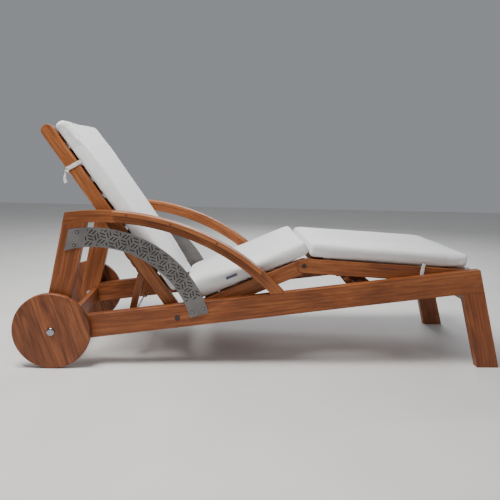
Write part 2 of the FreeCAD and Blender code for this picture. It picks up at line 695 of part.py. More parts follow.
def make_back():
    """Back section: two rails with rounded tops, slats, prop racks and its cushion."""
    for side, sign in SIDES:
        place = BACK.multiply(Placement(Vector(0, sign * SECTION_Y, 0), Rotation()))
        rail = board(f"back_rail_{side}", place, "back_length", "back_depth", "section_rail",
                     ends=("round", "round"),
                     holes=[("0", "0", "pivot_radius + running_gap")])
        keep(rail, f"back_rail_{side}")
        make_rack(side, sign)
    front = BACK.multiply(Placement(Vector(0, 0, 0), Rotation(Vector(1, 0, 0), 180)))
    make_slats("back", front, 10, "back_depth")
    make_cushion("back", front, "back_depth")
    make_ties("back", front, "back_depth")


def make_rack(side, sign):
    """Notched strip behind a back rail, where the bar of the back prop bears."""
    start = size("rack_start")
    top, low = size("back_depth / 2"), size("back_depth / 2 + rack_depth")
    valley, lip = low - size("rack_notch"), low - size("rack_notch / 5")
    half = size("notch_half")
    points = [(start, top), (start, low)]
    for tooth in range(5):
        middle = size(f"back_prop_reach + rack_pitch * {tooth}")
        points += [(middle - half, lip), (middle, valley), (middle + half, lip),
                   (middle + size("rack_pitch / 2"), low)]
    points.append((points[-1][0], top))
    wire = [Vector(x, -size("rack_width / 2"), z) for x, z in points]
    face = Part.Face(Part.makePolygon(wire + wire[:1]))
    rack = doc.addObject("Part::Feature", f"back_rack_{side}")
    rack.Shape = face.extrude(Vector(0, size("rack_width"), 0))
    rack.Placement = BACK.multiply(Placement(Vector(0, sign * SECTION_Y, 0), Rotation()))
    keep(rack, f"back_rack_{side}")


def make_seat():
    """Thigh section between its hinge and the knee, and its cushion."""
    for side, sign in SIDES:
        place = SEAT.multiply(Placement(Vector(0, sign * SECTION_Y, 0), Rotation()))
        rail = board(f"seat_blank_{side}", place, "seat_length", "seat_depth", "section_rail",
                     ends=("round", "round"),
                     holes=[("0", "0", "pivot_radius + running_gap"),
                            ("seat_length", "0", "pivot_radius - 1")])
        keep(lap(f"seat_rail_{side}", rail, sign, "section_width / 2 - section_rail / 2"),
             f"seat_rail_{side}")
    make_slats("seat", SEAT, 5, "seat_depth")
    make_cushion("seat", SEAT, "seat_depth")


def lap(name, rail, sign, inner_face):
    """Cuts one half of a rail's thickness away around the knee, for a half-lap joint."""
    pocket = outward(f"{name}_lap", sign, KNEE_X, size(inner_face) - size("side_gap"), KNEE_Z,
                     "seat_depth / 2 + lap_gap", "section_rail / 2 + 2 * side_gap")
    return boolean("Part::Cut", f"{name}_lapped", rail, pocket)


def make_calf():
    """Calf section from the knee to the foot end, and its cushion and ties."""
    for side, sign in SIDES:
        place = CALF.multiply(Placement(Vector(0, sign * SECTION_Y, 0), Rotation()))
        rail = board(f"calf_blank_{side}", place, "calf_length", "seat_depth",
                     "section_rail", ends=("round", "square"),
                     holes=[("0", "0", "pivot_radius - 1 + running_gap")])
        lapped = lap(f"calf_rail_{side}", rail, sign, "section_width / 2 - section_rail")
        sink = outward(f"knee_sink_{side}", sign, KNEE_X, size("section_width / 2 - knee_sink"),
                       KNEE_Z, "sink_radius - 1", "knee_sink")
        keep(boolean("Part::Cut", f"calf_rail_{side}_sunk", lapped, sink), f"calf_rail_{side}")
    make_slats("calf", CALF, 9, "seat_depth")
    make_cushion("calf", CALF, "seat_depth")
    make_ties("calf", CALF, "seat_depth")


def make_knee_bolts():
    """Bolts through the half-laps of the knee, their heads sunk in the calf rails."""
    inside = size("section_width / 2 - section_rail")
    bolts = []
    for side, sign in SIDES:
        parts = [
            outward(f"knee_shank_{side}", sign, KNEE_X, inside, KNEE_Z, "pivot_radius - 1",
                    "section_rail - knee_sink + side_gap"),
            outward(f"knee_head_{side}", sign, KNEE_X,
                    size("section_width / 2 - knee_sink + side_gap"), KNEE_Z,
                    "bolt_head - 1", "knee_head"),
            outward(f"knee_nut_{side}", sign, KNEE_X, inside - size("knee_nut"), KNEE_Z,
                    "bolt_head - 1", "knee_nut")]
        bolt = doc.addObject("Part::MultiFuse", f"knee_bolt_{side}")
        bolt.Shapes = parts
        bolts.append(bolt)
    group("knee_bolts", bolts)


# ---------------------------------------------------------------- props

def make_prop(name, pivot, tip):
    """Two arms on a steel rod between the side rails, joined by a round bearing bar."""
    run = math.dist(pivot, tip)
    angle = math.degrees(math.atan2(tip[1] - pivot[1], tip[0] - pivot[0]))
    arm_y = SECTION_Y - size("section_rail / 2 + prop_thickness / 2 + prop_side_gap")
    for side, sign in SIDES:
        arm = board(f"{name}_prop_arm_{side}", along(pivot[0], sign * arm_y, pivot[1], angle),
                    f"{run:.4f}", "prop_width", "prop_thickness", ends=("round", "round"),
                    holes=[("0", "0", "prop_rod + running_gap"), (f"{run:.4f}", "0", "prop_bar")],
                    rounding="edge_round / 2")
        keep(arm, f"{name}_prop_arm_{side}")
    inset = "10 * side_gap"
    start = size(f"{inset} - section_width / 2")
    keep(rod(f"{name}_prop_bar", tip[0], start, tip[1], "prop_bar",
             f"section_width - 2 * {inset}"), f"{name}_prop_bar")
    keep(rod(f"{name}_prop_rod", pivot[0], -INNER, pivot[1], "prop_rod",
             "frame_width - 2 * rail_thickness"), f"{name}_prop_rod")


def prop_tip(place, station, offset):
    """Where a prop's bar bears: a station along a section, below its centre line."""
    point = place.multVec(Vector(station, 0, offset))
    return (point.x - AXLE_X, point.z)


def make_props():
    """The two folding props, one behind the back and one under the calf section."""
    seated = size("back_depth / 2 + rack_depth - rack_notch + prop_bar + back_prop_gap")
    make_prop("back", (size("back_prop_x"), size("back_prop_height")),
              prop_tip(BACK, size("back_prop_reach"), seated))
    bearing = size("-seat_depth / 2 - prop_bar - knee_prop_gap")
    make_prop("knee", (size("knee_prop_x"), size("knee_prop_height")),
              prop_tip(CALF, size("knee_prop_reach"), bearing))


def check_and_export():
    """Stops on any failed object, then writes one file for each sub-part."""
    doc.recompute()
    for item in doc.Objects:
        if {"Invalid", "Error"} & set(item.State):
            raise RuntimeError(f"{item.Label} failed: {item.State}")
    for item in nodes:
        if item.Shape.isNull() or not item.Shape.isValid() or not item.Shape.Solids:
            raise RuntimeError(f"{item.Label} has no valid solid")
    os.makedirs("parts", exist_ok=True)
    for item in nodes:
        item.Shape.exportStep(f"parts/{item.Label}.step")
    print(len(nodes), "sub-parts written")


make_side_rails()
make_posts()
make_legs()
make_arms()
make_panels()
make_crossbars()
make_pivot_bolts()
make_wheels()
make_back()
make_seat()
make_calf()
make_knee_bolts()
make_props()
check_and_export()
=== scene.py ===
"""Looks of the reclining sun lounger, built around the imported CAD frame."""

import json
import math

import bmesh
import bpy
import numpy as np
from mathutils import Matrix, Vector, noise
from mathutils.bvhtree import BVHTree


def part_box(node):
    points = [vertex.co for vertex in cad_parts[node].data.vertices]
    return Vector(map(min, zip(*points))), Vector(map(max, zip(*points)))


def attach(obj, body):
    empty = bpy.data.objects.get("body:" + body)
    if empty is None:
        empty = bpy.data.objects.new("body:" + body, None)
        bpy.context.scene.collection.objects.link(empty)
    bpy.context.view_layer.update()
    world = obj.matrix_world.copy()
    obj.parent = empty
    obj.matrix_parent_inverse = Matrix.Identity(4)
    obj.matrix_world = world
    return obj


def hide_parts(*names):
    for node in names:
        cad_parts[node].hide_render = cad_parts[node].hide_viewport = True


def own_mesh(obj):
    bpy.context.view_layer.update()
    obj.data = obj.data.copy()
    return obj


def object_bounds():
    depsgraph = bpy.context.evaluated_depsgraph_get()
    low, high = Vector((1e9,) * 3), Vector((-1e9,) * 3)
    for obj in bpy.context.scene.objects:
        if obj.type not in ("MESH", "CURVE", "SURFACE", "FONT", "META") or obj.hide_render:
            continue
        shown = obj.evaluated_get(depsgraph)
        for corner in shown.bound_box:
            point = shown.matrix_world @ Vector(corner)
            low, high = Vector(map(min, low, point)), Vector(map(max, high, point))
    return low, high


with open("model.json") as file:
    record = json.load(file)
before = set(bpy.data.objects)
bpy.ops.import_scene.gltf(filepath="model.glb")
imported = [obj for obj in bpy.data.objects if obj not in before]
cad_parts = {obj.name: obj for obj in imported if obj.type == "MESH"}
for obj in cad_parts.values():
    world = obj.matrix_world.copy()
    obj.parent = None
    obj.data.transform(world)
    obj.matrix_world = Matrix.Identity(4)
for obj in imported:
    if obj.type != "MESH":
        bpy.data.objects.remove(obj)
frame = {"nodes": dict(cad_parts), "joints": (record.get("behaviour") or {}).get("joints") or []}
cad_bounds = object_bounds()
nodes = frame["nodes"]
joints = {joint["name"]: Vector(joint["pos_m"]) for joint in frame["joints"]}

# Camera: a 39.4 mm lens, a little above the arms, off the middle towards the head end.
CAMERA_PLACE = (-0.1908, -2.469, 0.8483)
CAMERA_LENS = 39.39
CAMERA_PITCH = 0.1663
CAMERA_YAW = 0.0574
CAMERA_ROLL = 0.0266

# Angles of the fixed timbers in the side view, in degrees from +X towards +Z.
RAIL_SLOPE = 7.44
POST_SLOPE = 77.6
LEG_SLOPE = 105.8

# Planks of the wheels: width, and angle of their grain.
PLANK_WIDTH = 0.072
PLANK_TURN = 108

# Slats of each section.
SLAT_WIDTH = 0.056
SLAT_COUNTS = {"back": 10, "seat": 5, "calf": 9}

# Cushions: cloth mesh size, simulated frames, and how a boxed cushion is cut and stuffed.
VOXEL = 0.0055
CLOTH_FRAMES = 20
PRESSURE = 4.0
SWELL_LIMIT = 0.007
RELAX_ROUNDS = 5
EDGE_ROUND = 0.015
END_TRIM = 0.001
SIDE_TRIM = 0.004
PULL_IN = 0.0015
PANEL_EDGE = 0.006
CROWN_REACH = 0.045
# How far a pad reaches past its block at the knee.
KNEE_OVERLAP = 0.014
# How far a finished pad may stand past its block along, across and above the section.
PAD_MARGINS = (0.003, 0.002, 0.004)

# Seams: depth and width of the groove, and the raised welt beside it.
GROOVE_DEPTH = 0.0012
GROOVE_WIDTH = 0.0022
WELT_HEIGHT = 0.0006
WELT_WIDTH = 0.0025
WELT_OFFSET = 0.0050
PUCKER_REACH = 0.016

# Unevenness of the cloth: small puckers away from a seam and beside it, then wide folds.
FACE_PUCKER = 0.0003
SEAM_PUCKER = 0.0020
SOFT_FOLD = 0.0018
DRAPE_FOLD = 0.0016

# Ties and the label.
TAPE_WIDTH = 0.016
TAPE_THICKNESS = 0.0012
TAPE_GAP = 0.0018
TAPE_TURN = 0.005
TIE_SEWN_AT = 0.012
TAPE_RIPPLE = 0.0007
KNOT_SIZE = 0.009
END_KNOT_SIZE = 0.007
LABEL_FROM = 0.183
LABEL_RISE = 0.007
LABEL_SIZE = (0.050, 0.013)
LABEL_CELLS = (26, 8)
LABEL_STANDS_OUT = 0.0015
LABEL_SINKS_IN = 0.0010
STITCH_INSET = 0.0018
STITCH_WIDTH = 0.0005
STITCHES_PER_METRE = 420.0

# Arm panels: thickness, how far in from a face the plate keeps its bright metal before the painted
# shade of the slot floors, share of metal, and the height of their screws' flanges.
PANEL_THICKNESS = 0.004
SLOT_EDGE = 0.0008
PANEL_METALLIC = 0.75
FLANGE_HEIGHT = 0.0008

# Studio: floor, sky and area lights as (name, place, aim, size, watts, colour).
FLOOR_SIZE = 14
SKY_COLOUR = (0.80, 0.83, 0.88, 1)
SKY_STRENGTH = 0.33
LIGHTS = (
    ("key", (-1.2, -0.9, 3.2), (0.0, 0.0, 0.4), 1.2, 150, (1.0, 0.98, 0.95)),
    ("fill", (2.6, -3.4, 1.6), (0.2, 0.0, 0.3), 2.4, 13, (1.0, 0.96, 0.92)),
    ("rim", (0.6, 2.9, 2.5), (0.1, 0.0, 0.4), 1.8, 70, (0.94, 0.97, 1.0)))

# Curved arms turn about this point of the side view.
ARM_CENTRE = (joints["wheel_left_spin"].x + 0.205, -0.345)
ARM_RADIUS = 0.955


# ---------------------------------------------------------------- node helpers

class Graph:
    """A material's node tree, with short calls for the nodes that the materials share."""

    def __init__(self, name, roughness=0.5, **sockets):
        self.material = bpy.data.materials.new(name)
        self.material.use_nodes = True
        self.tree = self.material.node_tree
        self.shader = self.tree.nodes["Principled BSDF"]
        self.shader.inputs["Roughness"].default_value = roughness
        for socket, value in sockets.items():
            self.shader.inputs[socket.replace("_", " ")].default_value = value

    def add(self, kind, inputs=None, **settings):
        node = self.tree.nodes.new(kind)
        for key, value in settings.items():
            setattr(node, key, value)
        for key, value in (inputs or {}).items():
            self.feed(node.inputs[key], value)
        return node

    def feed(self, socket, value):
        if isinstance(value, bpy.types.NodeSocket):
            self.tree.links.new(value, socket)
        else:
            socket.default_value = value

    def place(self):
        return self.add("ShaderNodeTexCoord").outputs["Object"]

    def from_middle(self):
        """Distance from the lounger's middle plane."""
        split = self.add("ShaderNodeSeparateXYZ", {0: self.place()})
        return self.math("ABSOLUTE", split.outputs[1])

    def distance_along(self, axis):
        """How far a point lies along an axis from the origin."""
        node = self.add("ShaderNodeVectorMath", {0: self.place(), 1: axis}, operation="DOT_PRODUCT")
        return node.outputs["Value"]

    def mapping(self, vector, location=(0, 0, 0), rotation=(0, 0, 0), scale=(1, 1, 1)):
        return self.add("ShaderNodeMapping", {"Vector": vector, "Location": location,
                                              "Rotation": rotation, "Scale": scale}).outputs[0]

    def noise(self, vector, scale, detail=4.0, roughness=0.5, distortion=0.0):
        node = self.add("ShaderNodeTexNoise", {"Vector": vector, "Scale": scale, "Detail": detail,
                                               "Roughness": roughness, "Distortion": distortion})
        return node.outputs["Fac"]

    def ramp(self, value, stops):
        """A colour ramp; a stop is (position, grey or colour)."""
        node = self.add("ShaderNodeValToRGB", {"Fac": value})
        elements = node.color_ramp.elements
        while len(elements) < len(stops):
            elements.new(0.5)
        for element, (position, colour) in zip(elements, stops):
            element.position = position
            grey = isinstance(colour, (int, float))
            element.color = (colour, colour, colour, 1) if grey else (*colour, 1)
        return node.outputs["Color"]

    def math(self, operation, first, second=0.0):
        return self.add("ShaderNodeMath", {0: first, 1: second}, operation=operation).outputs[0]

    def mix_colour(self, factor, first, second, blend="MIX"):
        node = self.add("ShaderNodeMix", data_type="RGBA", blend_type=blend)
        for index, value in ((0, factor), (6, first), (7, second)):
            self.feed(node.inputs[index], (*value, 1) if isinstance(value, tuple) else value)
        return node.outputs[2]

    def bump(self, height, distance, strength=1.0, normal=None):
        inputs = {"Height": height, "Distance": distance, "Strength": strength}
        if normal:
            inputs["Normal"] = normal
        return self.add("ShaderNodeBump", inputs).outputs[0]

    def finish(self, colour, normal=None, roughness=None):
        self.feed(self.shader.inputs["Base Color"], colour)
        if normal:
            self.feed(self.shader.inputs["Normal"], normal)
        if roughness:
            self.feed(self.shader.inputs["Roughness"], roughness)
        return self.material


# ---------------------------------------------------------------- materials

WOOD_DARK = (0.190, 0.052, 0.015)
WOOD_MID = (0.330, 0.104, 0.030)
WOOD_LIGHT = (0.480, 0.178, 0.060)


def curved_place(graph):
    """Coordinates along, across and through a bar that is bent about the arm's centre."""
    split = graph.add("ShaderNodeSeparateXYZ", {0: graph.mapping(
        graph.place(), location=(-ARM_CENTRE[0], 0, -ARM_CENTRE[1]))})
    x, y, z = split.outputs
    level = graph.math("ARCTAN2", z, x)
    reach = graph.math("POWER", graph.math("ADD", graph.math("MULTIPLY", x, x),
                                           graph.math("MULTIPLY", z, z)), 0.5)
    join = graph.add("ShaderNodeCombineXYZ", {0: graph.math("MULTIPLY", level, ARM_RADIUS),
                                              1: y, 2: reach})
    return join.outputs[0]


def wood(name, angle=0.0, across=False, curved=False, pitch=None, tone=0.0, seed=0.0):
    """Oiled teak with its grain along one direction of the side view, or across the lounger.

    pitch is (angle, spacing) where one mesh holds several boards: each gets its own tone.
    """
    graph = Graph(name, roughness=0.42, IOR=1.45, Specular_IOR_Level=0.42)
    if curved:
        base = curved_place(graph)
    elif across:
        base = graph.mapping(graph.place(), rotation=(0, 0, math.pi / 2))
    else:
        base = graph.mapping(graph.place(), rotation=(0, math.radians(angle), 0))
    base = graph.mapping(base, location=(seed, seed * 1.7, seed * 0.6))
    figure = graph.noise(graph.mapping(base, scale=(1.1, 9, 9)), 2.6, 5, 0.55, 1.6)
    streak = graph.noise(graph.mapping(base, scale=(2.5, 90, 90)), 3.0, 6, 0.62, 0.35)
    pore = graph.noise(graph.mapping(base, scale=(14, 420, 420)), 3.0, 3, 0.5)
    rings = graph.add("ShaderNodeTexWave", {"Vector": graph.mapping(base, scale=(0.5, 10, 10)),
                                            "Scale": 2.2, "Distortion": 7.0, "Detail": 3.0,
                                            "Detail Scale": 0.7}, bands_direction="Z")
    colour = graph.ramp(figure, ((0.28, WOOD_DARK), (0.5, WOOD_MID), (0.74, WOOD_LIGHT)))
    lines = graph.ramp(rings.outputs["Fac"], ((0.0, 0.62), (0.45, 0.98), (1.0, 1.0)))
    colour = graph.mix_colour(0.55, colour, lines, "MULTIPLY")
    fibres = graph.ramp(streak, ((0.3, 0.5), (0.55, 1.0), (0.8, 1.25)))
    colour = graph.mix_colour(0.8, colour, fibres, "MULTIPLY")
    pores = graph.ramp(pore, ((0.28, 0.35), (0.4, 1.0)))
    colour = graph.mix_colour(0.6, colour, pores, "MULTIPLY")
    if pitch:
        turned = graph.mapping(graph.place(), rotation=(0, math.radians(pitch[0]), 0))
        step = graph.math("FLOOR", graph.math("DIVIDE", graph.add(
            "ShaderNodeSeparateXYZ", {0: turned}).outputs[0], pitch[1]))
        own = graph.add("ShaderNodeTexWhiteNoise", {"W": step}, noise_dimensions="1D")
        shade = graph.ramp(own.outputs["Value"], ((0.0, 0.72), (1.0, 1.25)))
        colour = graph.mix_colour(1.0, colour, shade, "MULTIPLY")
    worn = graph.ramp(graph.noise(graph.place(), 5.0, 3, 0.6), ((0.3, 0.78), (0.7, 1.15)))
    colour = graph.mix_colour(0.5, colour, worn, "MULTIPLY")
    if tone:
        grade = (1 + tone * 0.7, 1 + tone, 1 + tone * 1.15)
        colour = graph.mix_colour(1.0, colour, grade, "MULTIPLY")
    ridge = graph.bump(streak, 0.0006, 0.6)
    ridge = graph.bump(pores, 0.0004, 0.5, ridge)
    gloss = graph.ramp(streak, ((0.2, 0.5), (0.8, 0.34)))
    return graph.finish(colour, ridge, gloss)


def wheel_wood():
    """Wheel glued up from planks: each plank has its own tone, with a thin joint line."""
    graph = Graph("wheel_planks", roughness=0.45, Specular_IOR_Level=0.4)
    grain = graph.mapping(graph.place(), rotation=(0, math.radians(PLANK_TURN), 0))
    split = graph.add("ShaderNodeSeparateXYZ", {0: grain})
    lane = graph.math("DIVIDE", split.outputs[2], PLANK_WIDTH)
    own = graph.add("ShaderNodeTexWhiteNoise", {"W": graph.math("FLOOR", lane)},
                    noise_dimensions="1D")
    shift = graph.math("MULTIPLY", own.outputs["Value"], 3.0)
    moved = graph.add("ShaderNodeVectorMath", {0: grain, 1: graph.add(
        "ShaderNodeCombineXYZ", {0: shift}).outputs[0]}, operation="ADD").outputs[0]
    figure = graph.noise(graph.mapping(moved, scale=(1.2, 8, 9)), 2.8, 5, 0.55, 1.4)
    streak = graph.noise(graph.mapping(moved, scale=(2.5, 70, 90)), 3.0, 6, 0.62, 0.35)
    colour = graph.ramp(figure, ((0.28, (0.085, 0.022, 0.008)), (0.5, (0.215, 0.062, 0.020)),
                                 (0.74, (0.350, 0.118, 0.040))))
    shade = graph.ramp(own.outputs["Value"], ((0.0, 0.78), (1.0, 1.2)))
    colour = graph.mix_colour(1.0, colour, shade, "MULTIPLY")
    fibres = graph.ramp(streak, ((0.3, 0.5), (0.55, 1.0), (0.8, 1.25)))
    colour = graph.mix_colour(0.8, colour, fibres, "MULTIPLY")
    edge = graph.math("ABSOLUTE", graph.math("SUBTRACT", graph.math("FRACT", lane), 0.5))
    joint = graph.ramp(edge, ((0.482, 1.0), (0.494, 0.25)))
    colour = graph.mix_colour(1.0, colour, joint, "MULTIPLY")
    ridge = graph.bump(streak, 0.0006, 0.6)
    ridge = graph.bump(joint, 0.0005, 0.6, ridge)
    return graph.finish(colour, ridge, graph.ramp(streak, ((0.2, 0.55), (0.8, 0.38))))


def canvas(name, colour=(0.84, 0.84, 0.83), weave=0.0016):
    """Plain woven outdoor canvas: fine warp and weft, faint slubs, soft sheen."""
    graph = Graph(name, roughness=0.5, Specular_IOR_Level=0.42, Sheen_Weight=0.3,
                  Sheen_Roughness=0.4)
    place = graph.place()
    threads = []
    for turn in ((0, 0, 0), (0, 0, math.pi / 2), (0, math.pi / 2, 0)):
        wave = graph.add("ShaderNodeTexWave", {"Vector": graph.mapping(place, rotation=turn),
                                               "Scale": 0.314 / weave, "Distortion": 1.2,
                                               "Detail": 1.0, "Detail Scale": 3.0})
        threads.append(wave.outputs["Fac"])
    weave_height = graph.math("ADD", graph.math("MULTIPLY", threads[0], threads[1]), threads[2])
    slub = graph.noise(graph.mapping(place, scale=(1, 14, 14)), 30.0, 3, 0.6)
    cloud = graph.noise(place, 6.0, 3, 0.55)
    tint = graph.ramp(cloud, ((0.25, (0.90, 0.915, 0.94)), (0.75, (1.0, 0.995, 0.985))))
    base = graph.mix_colour(1.0, colour, tint, "MULTIPLY")
    base = graph.mix_colour(0.35, base, graph.ramp(slub, ((0.3, 0.86), (0.7, 1.0))), "MULTIPLY")
    base = graph.mix_colour(0.12, base, graph.ramp(weave_height, ((0.2, 0.7), (1.0, 1.0))),
                            "MULTIPLY")
    fold = graph.bump(cloud, 0.002, 0.35)
    fine = graph.bump(weave_height, 0.00025, 0.55, fold)
    fine = graph.bump(slub, 0.0003, 0.4, fine)
    return graph.finish(base, fine)


def brushed(name, colour, roughness, scratches=(1, 90, 90), curved=False, wear=0.25):
    """Brushed metal: fine scratches along one direction and faint stains."""
    graph = Graph(name, roughness=roughness, Metallic=1.0)
    place = curved_place(graph) if curved else graph.place()
    hair = graph.noise(graph.mapping(place, scale=scratches), 14.0, 5, 0.7)
    stain = graph.noise(graph.place(), 11.0, 4, 0.6)
    base = graph.mix_colour(wear, colour, graph.ramp(stain, ((0.3, 0.62), (0.65, 1.0))), "MULTIPLY")
    base = graph.mix_colour(0.3, base, graph.ramp(hair, ((0.3, 0.72), (0.7, 1.0))), "MULTIPLY")
    rough = graph.ramp(hair, ((0.25, min(roughness + 0.14, 1.0)), (0.75, roughness - 0.05)))
    return graph.finish(base, graph.bump(hair, 0.0003, 0.4), rough)


def panel_metal():
    """Brushed plate with painted shade, near black and brownish, in the floors of its sunk slots.
    """
    graph = Graph("panel_metal", roughness=0.45, Metallic=PANEL_METALLIC)
    place = curved_place(graph)
    hair = graph.noise(graph.mapping(place, scale=(1.5, 60, 220)), 14.0, 5, 0.7)
    stain = graph.noise(graph.place(), 16.0, 5, 0.65)
    base = graph.mix_colour(0.6, (0.215, 0.205, 0.200),
                            graph.ramp(stain, ((0.3, 0.58), (0.68, 1.15))), "MULTIPLY")
    base = graph.mix_colour(0.4, base, graph.ramp(hair, ((0.3, 0.66), (0.7, 1.1))), "MULTIPLY")
    outer_face = max(abs(corner[1]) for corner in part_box("arm_panel_left"))
    inner_face = outer_face - PANEL_THICKNESS
    side = graph.from_middle()
    below = graph.math("LESS_THAN", side, outer_face - SLOT_EDGE)
    above = graph.math("GREATER_THAN", side, inner_face + SLOT_EDGE)
    sunk = graph.math("MULTIPLY", below, above)
    # Painted shade: the slot floors are coloured near black, as the shade that falls in the sunk
    # slots, and lose their metal so they stay dark.
    slot_shade = graph.ramp(stain, ((0.3, (0.010, 0.006, 0.005)), (0.7, (0.026, 0.015, 0.012))))
    colour = graph.mix_colour(sunk, base, slot_shade)
    graph.feed(graph.shader.inputs["Metallic"], graph.math(
        "MULTIPLY", graph.math("SUBTRACT", 1.0, sunk), PANEL_METALLIC))
    rough = graph.ramp(hair, ((0.25, 0.58), (0.75, 0.38)))
    return graph.finish(colour, graph.bump(hair, 0.0003, 0.4), rough)


def screw_metal():
    """Panel screws: flange painted near black as the shade round the button, and grey steel with
    rubbed spots on the button that stands on it.
    """
    graph = Graph("screw_metal", roughness=0.35, Metallic=0.9)
    flange_face = max(abs(corner[1]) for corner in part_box("arm_panel_left")) + FLANGE_HEIGHT
    button = graph.math("GREATER_THAN", graph.from_middle(), flange_face + FLANGE_HEIGHT / 2)
    rubbed = graph.ramp(graph.noise(graph.place(), 160.0, 3, 0.6),
                        ((0.3, (0.30, 0.29, 0.28)), (0.7, (0.55, 0.54, 0.52))))
    # Painted shade: the near-black flange stands in for the dark shaded ring round the button.
    return graph.finish(graph.mix_colour(button, (0.012, 0.010, 0.010), rubbed))


def moulded(name, colour, roughness=0.55):
    """Fine-textured plastic or paint with slight scuffs."""
    graph = Graph(name, roughness=roughness)
    grit = graph.noise(graph.place(), 900.0, 3, 0.6)
    scuff = graph.noise(graph.place(), 60.0, 4, 0.65)
    base = graph.mix_colour(0.5, colour, graph.ramp(scuff, ((0.35, 0.7), (0.6, 1.25))), "MULTIPLY")
    return graph.finish(base, graph.bump(grit, 0.0002, 0.4),
                        graph.ramp(scuff, ((0.3, roughness - 0.1), (0.7, roughness + 0.12))))


# ---------------------------------------------------------------- CAD nodes' finishes

def direction(start, end):
    """Angle of a line of the side view, in degrees from +X towards +Z."""
    return math.degrees(math.atan2(end[2] - start[2], end[0] - start[0]))


def paint(names, material):
    for name in names:
        node = nodes[name]
        if not node.material_slots:
            node.data.materials.append(material)
        for slot in node.material_slots:
            slot.material = material


def pair(stem):
    return [f"{stem}_left", f"{stem}_right"]


def finish_cad_nodes(sections):
    """Gives every CAD node a detailed material, with the grain along each board."""
    back, seat, calf = (sections[name].angle for name in ("back", "seat", "calf"))
    knee_prop = direction(joints["knee_prop_fold"], box_middle("knee_prop_bar"))
    back_prop = direction(joints["back_prop_fold"], box_middle("back_prop_bar"))
    paint(pair("side_rail"), wood("rail_wood", RAIL_SLOPE, tone=-0.24))
    paint(pair("rear_post"), wood("post_wood", POST_SLOPE, tone=-0.24, seed=3.1))
    paint(pair("foot_leg"), wood("leg_wood", LEG_SLOPE, tone=-0.34, seed=5.3))
    paint(pair("arm_beam"), wood("arm_wood", curved=True, tone=-0.14, seed=0.4))
    paint(pair("arm_pad"), wood("pad_wood", curved=True, tone=0.08, seed=7.7))
    paint(pair("back_rail"), wood("back_rail_wood", back, tone=0.06, seed=1.9))
    paint(pair("back_rack"), wood("rack_wood", back, tone=-0.25, seed=9.2))
    paint(pair("seat_rail"), wood("seat_rail_wood", seat, tone=-0.08, seed=4.4))
    paint(pair("calf_rail"), wood("calf_rail_wood", calf, tone=-0.1, seed=6.1))
    paint(pair("back_prop_arm"), wood("back_prop_wood", back_prop, seed=2.2))
    paint(pair("knee_prop_arm"), wood("knee_prop_wood", knee_prop, seed=8.8))
    crosswise = wood("cross_wood", across=True, tone=-0.2, seed=2.7)
    paint(("back_prop_bar", "knee_prop_bar", "head_crossbar", "foot_crossbar",
           "seat_crossbar", "knee_crossbar"), crosswise)
    for name, section in sections.items():
        spacing = section.spread(f"{name}_slats", SLAT_WIDTH) / (SLAT_COUNTS[name] - 1)
        paint([f"{name}_slats"], wood(f"{name}_slat_wood", across=True, seed=section.angle / 9,
                                      pitch=(section.angle, spacing)))
    paint(pair("wheel"), wheel_wood())
    paint(["arm_plugs"], wood("plug_wood", across=True, tone=-0.62))
    paint(pair("arm_panel"), panel_metal())
    paint(["panel_screws"], screw_metal())
    steel = brushed("zinc_steel", (0.52, 0.52, 0.53), 0.34)
    paint(pair("axle") + ["axle_washers", "back_prop_rod", "knee_prop_rod"], steel)
    # The bolts' steel is coloured near black as painted shade of their recesses and painted
    # reflection of dark surroundings.
    paint(["back_hinge_bolts", "seat_hinge_bolts", "knee_bolts"],
          brushed("bolt_steel_painted_dark", (0.075, 0.072, 0.072), 0.38))
    # The cap's chrome is darkened as a painted reflection of dark surroundings.
    paint(["axle_caps"], brushed("cap_chrome_painted_dark", (0.34, 0.34, 0.36), 0.15, wear=0.3))
    paint(pair("wheel_bush") + ["hinge_spacers"], moulded("nylon", (0.028, 0.028, 0.03)))


def box_middle(name):
    low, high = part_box(name)
    return [(a + b) / 2 for a, b in zip(low, high)]


# ---------------------------------------------------------------- soft goods

class Section:
    """Directions and extents of one folding section, read from its CAD cushion."""

    def __init__(self, name, body):
        mesh = nodes[f"{name}_cushion"].data
        face = max((p for p in mesh.polygons if p.normal.z > 0.1), key=lambda p: p.area)
        self.body = body
        self.up = Vector((face.normal.x, 0, face.normal.z)).normalized()
        self.along = Vector((self.up.z, 0, -self.up.x))
        self.across = Vector((0, 1, 0))
        self.low, self.high = self.measure(f"{name}_cushion")
        sense = -1 if name == "back" else 1
        self.angle = math.degrees(math.atan2(self.along.z * sense, self.along.x * sense))

    def measure(self, node):
        """Lowest and highest values of a node along, across and above the section."""
        points = [v.co for v in nodes[node].data.vertices]
        rows = [[p.dot(axis) for p in points] for axis in (self.along, self.across, self.up)]
        return [min(row) for row in rows], [max(row) for row in rows]

    def spread(self, node, width):
        low, high = self.measure(node)
        return high[0] - low[0] - width

    def world(self, a, b, c):
        return self.along * a + self.across * b + self.up * c

    def matrix(self):
        centre = self.world(*[(a + b) / 2 for a, b in zip(self.low, self.high)])
        basis = Matrix((self.along, self.across, self.up)).transposed().to_4x4()
        return Matrix.Translation(centre) @ basis


def new_object(name, mesh):
    item = bpy.data.objects.new(name, mesh)
    bpy.context.scene.collection.objects.link(item)
    return item


def apply_modifiers(item):
    """Replaces an object's mesh with what its modifiers make of it."""
    graph = bpy.context.evaluated_depsgraph_get()
    mesh = bpy.data.meshes.new_from_object(item.evaluated_get(graph))
    item.modifiers.clear()
    item.data = mesh


def rounded_block(name, size, radius):
    """A closed block with rounded edges, centred on its own origin."""
    bm = bmesh.new()
    bmesh.ops.create_cube(bm, size=1.0)
    bmesh.ops.scale(bm, vec=size, verts=bm.verts)
    bmesh.ops.bevel(bm, geom=bm.edges[:] + bm.verts[:], offset=radius, segments=4,
                    affect="EDGES", profile=0.5)
    mesh = bpy.data.meshes.new(name)
    bm.to_mesh(mesh)
    bm.free()
    return new_object(name, mesh)


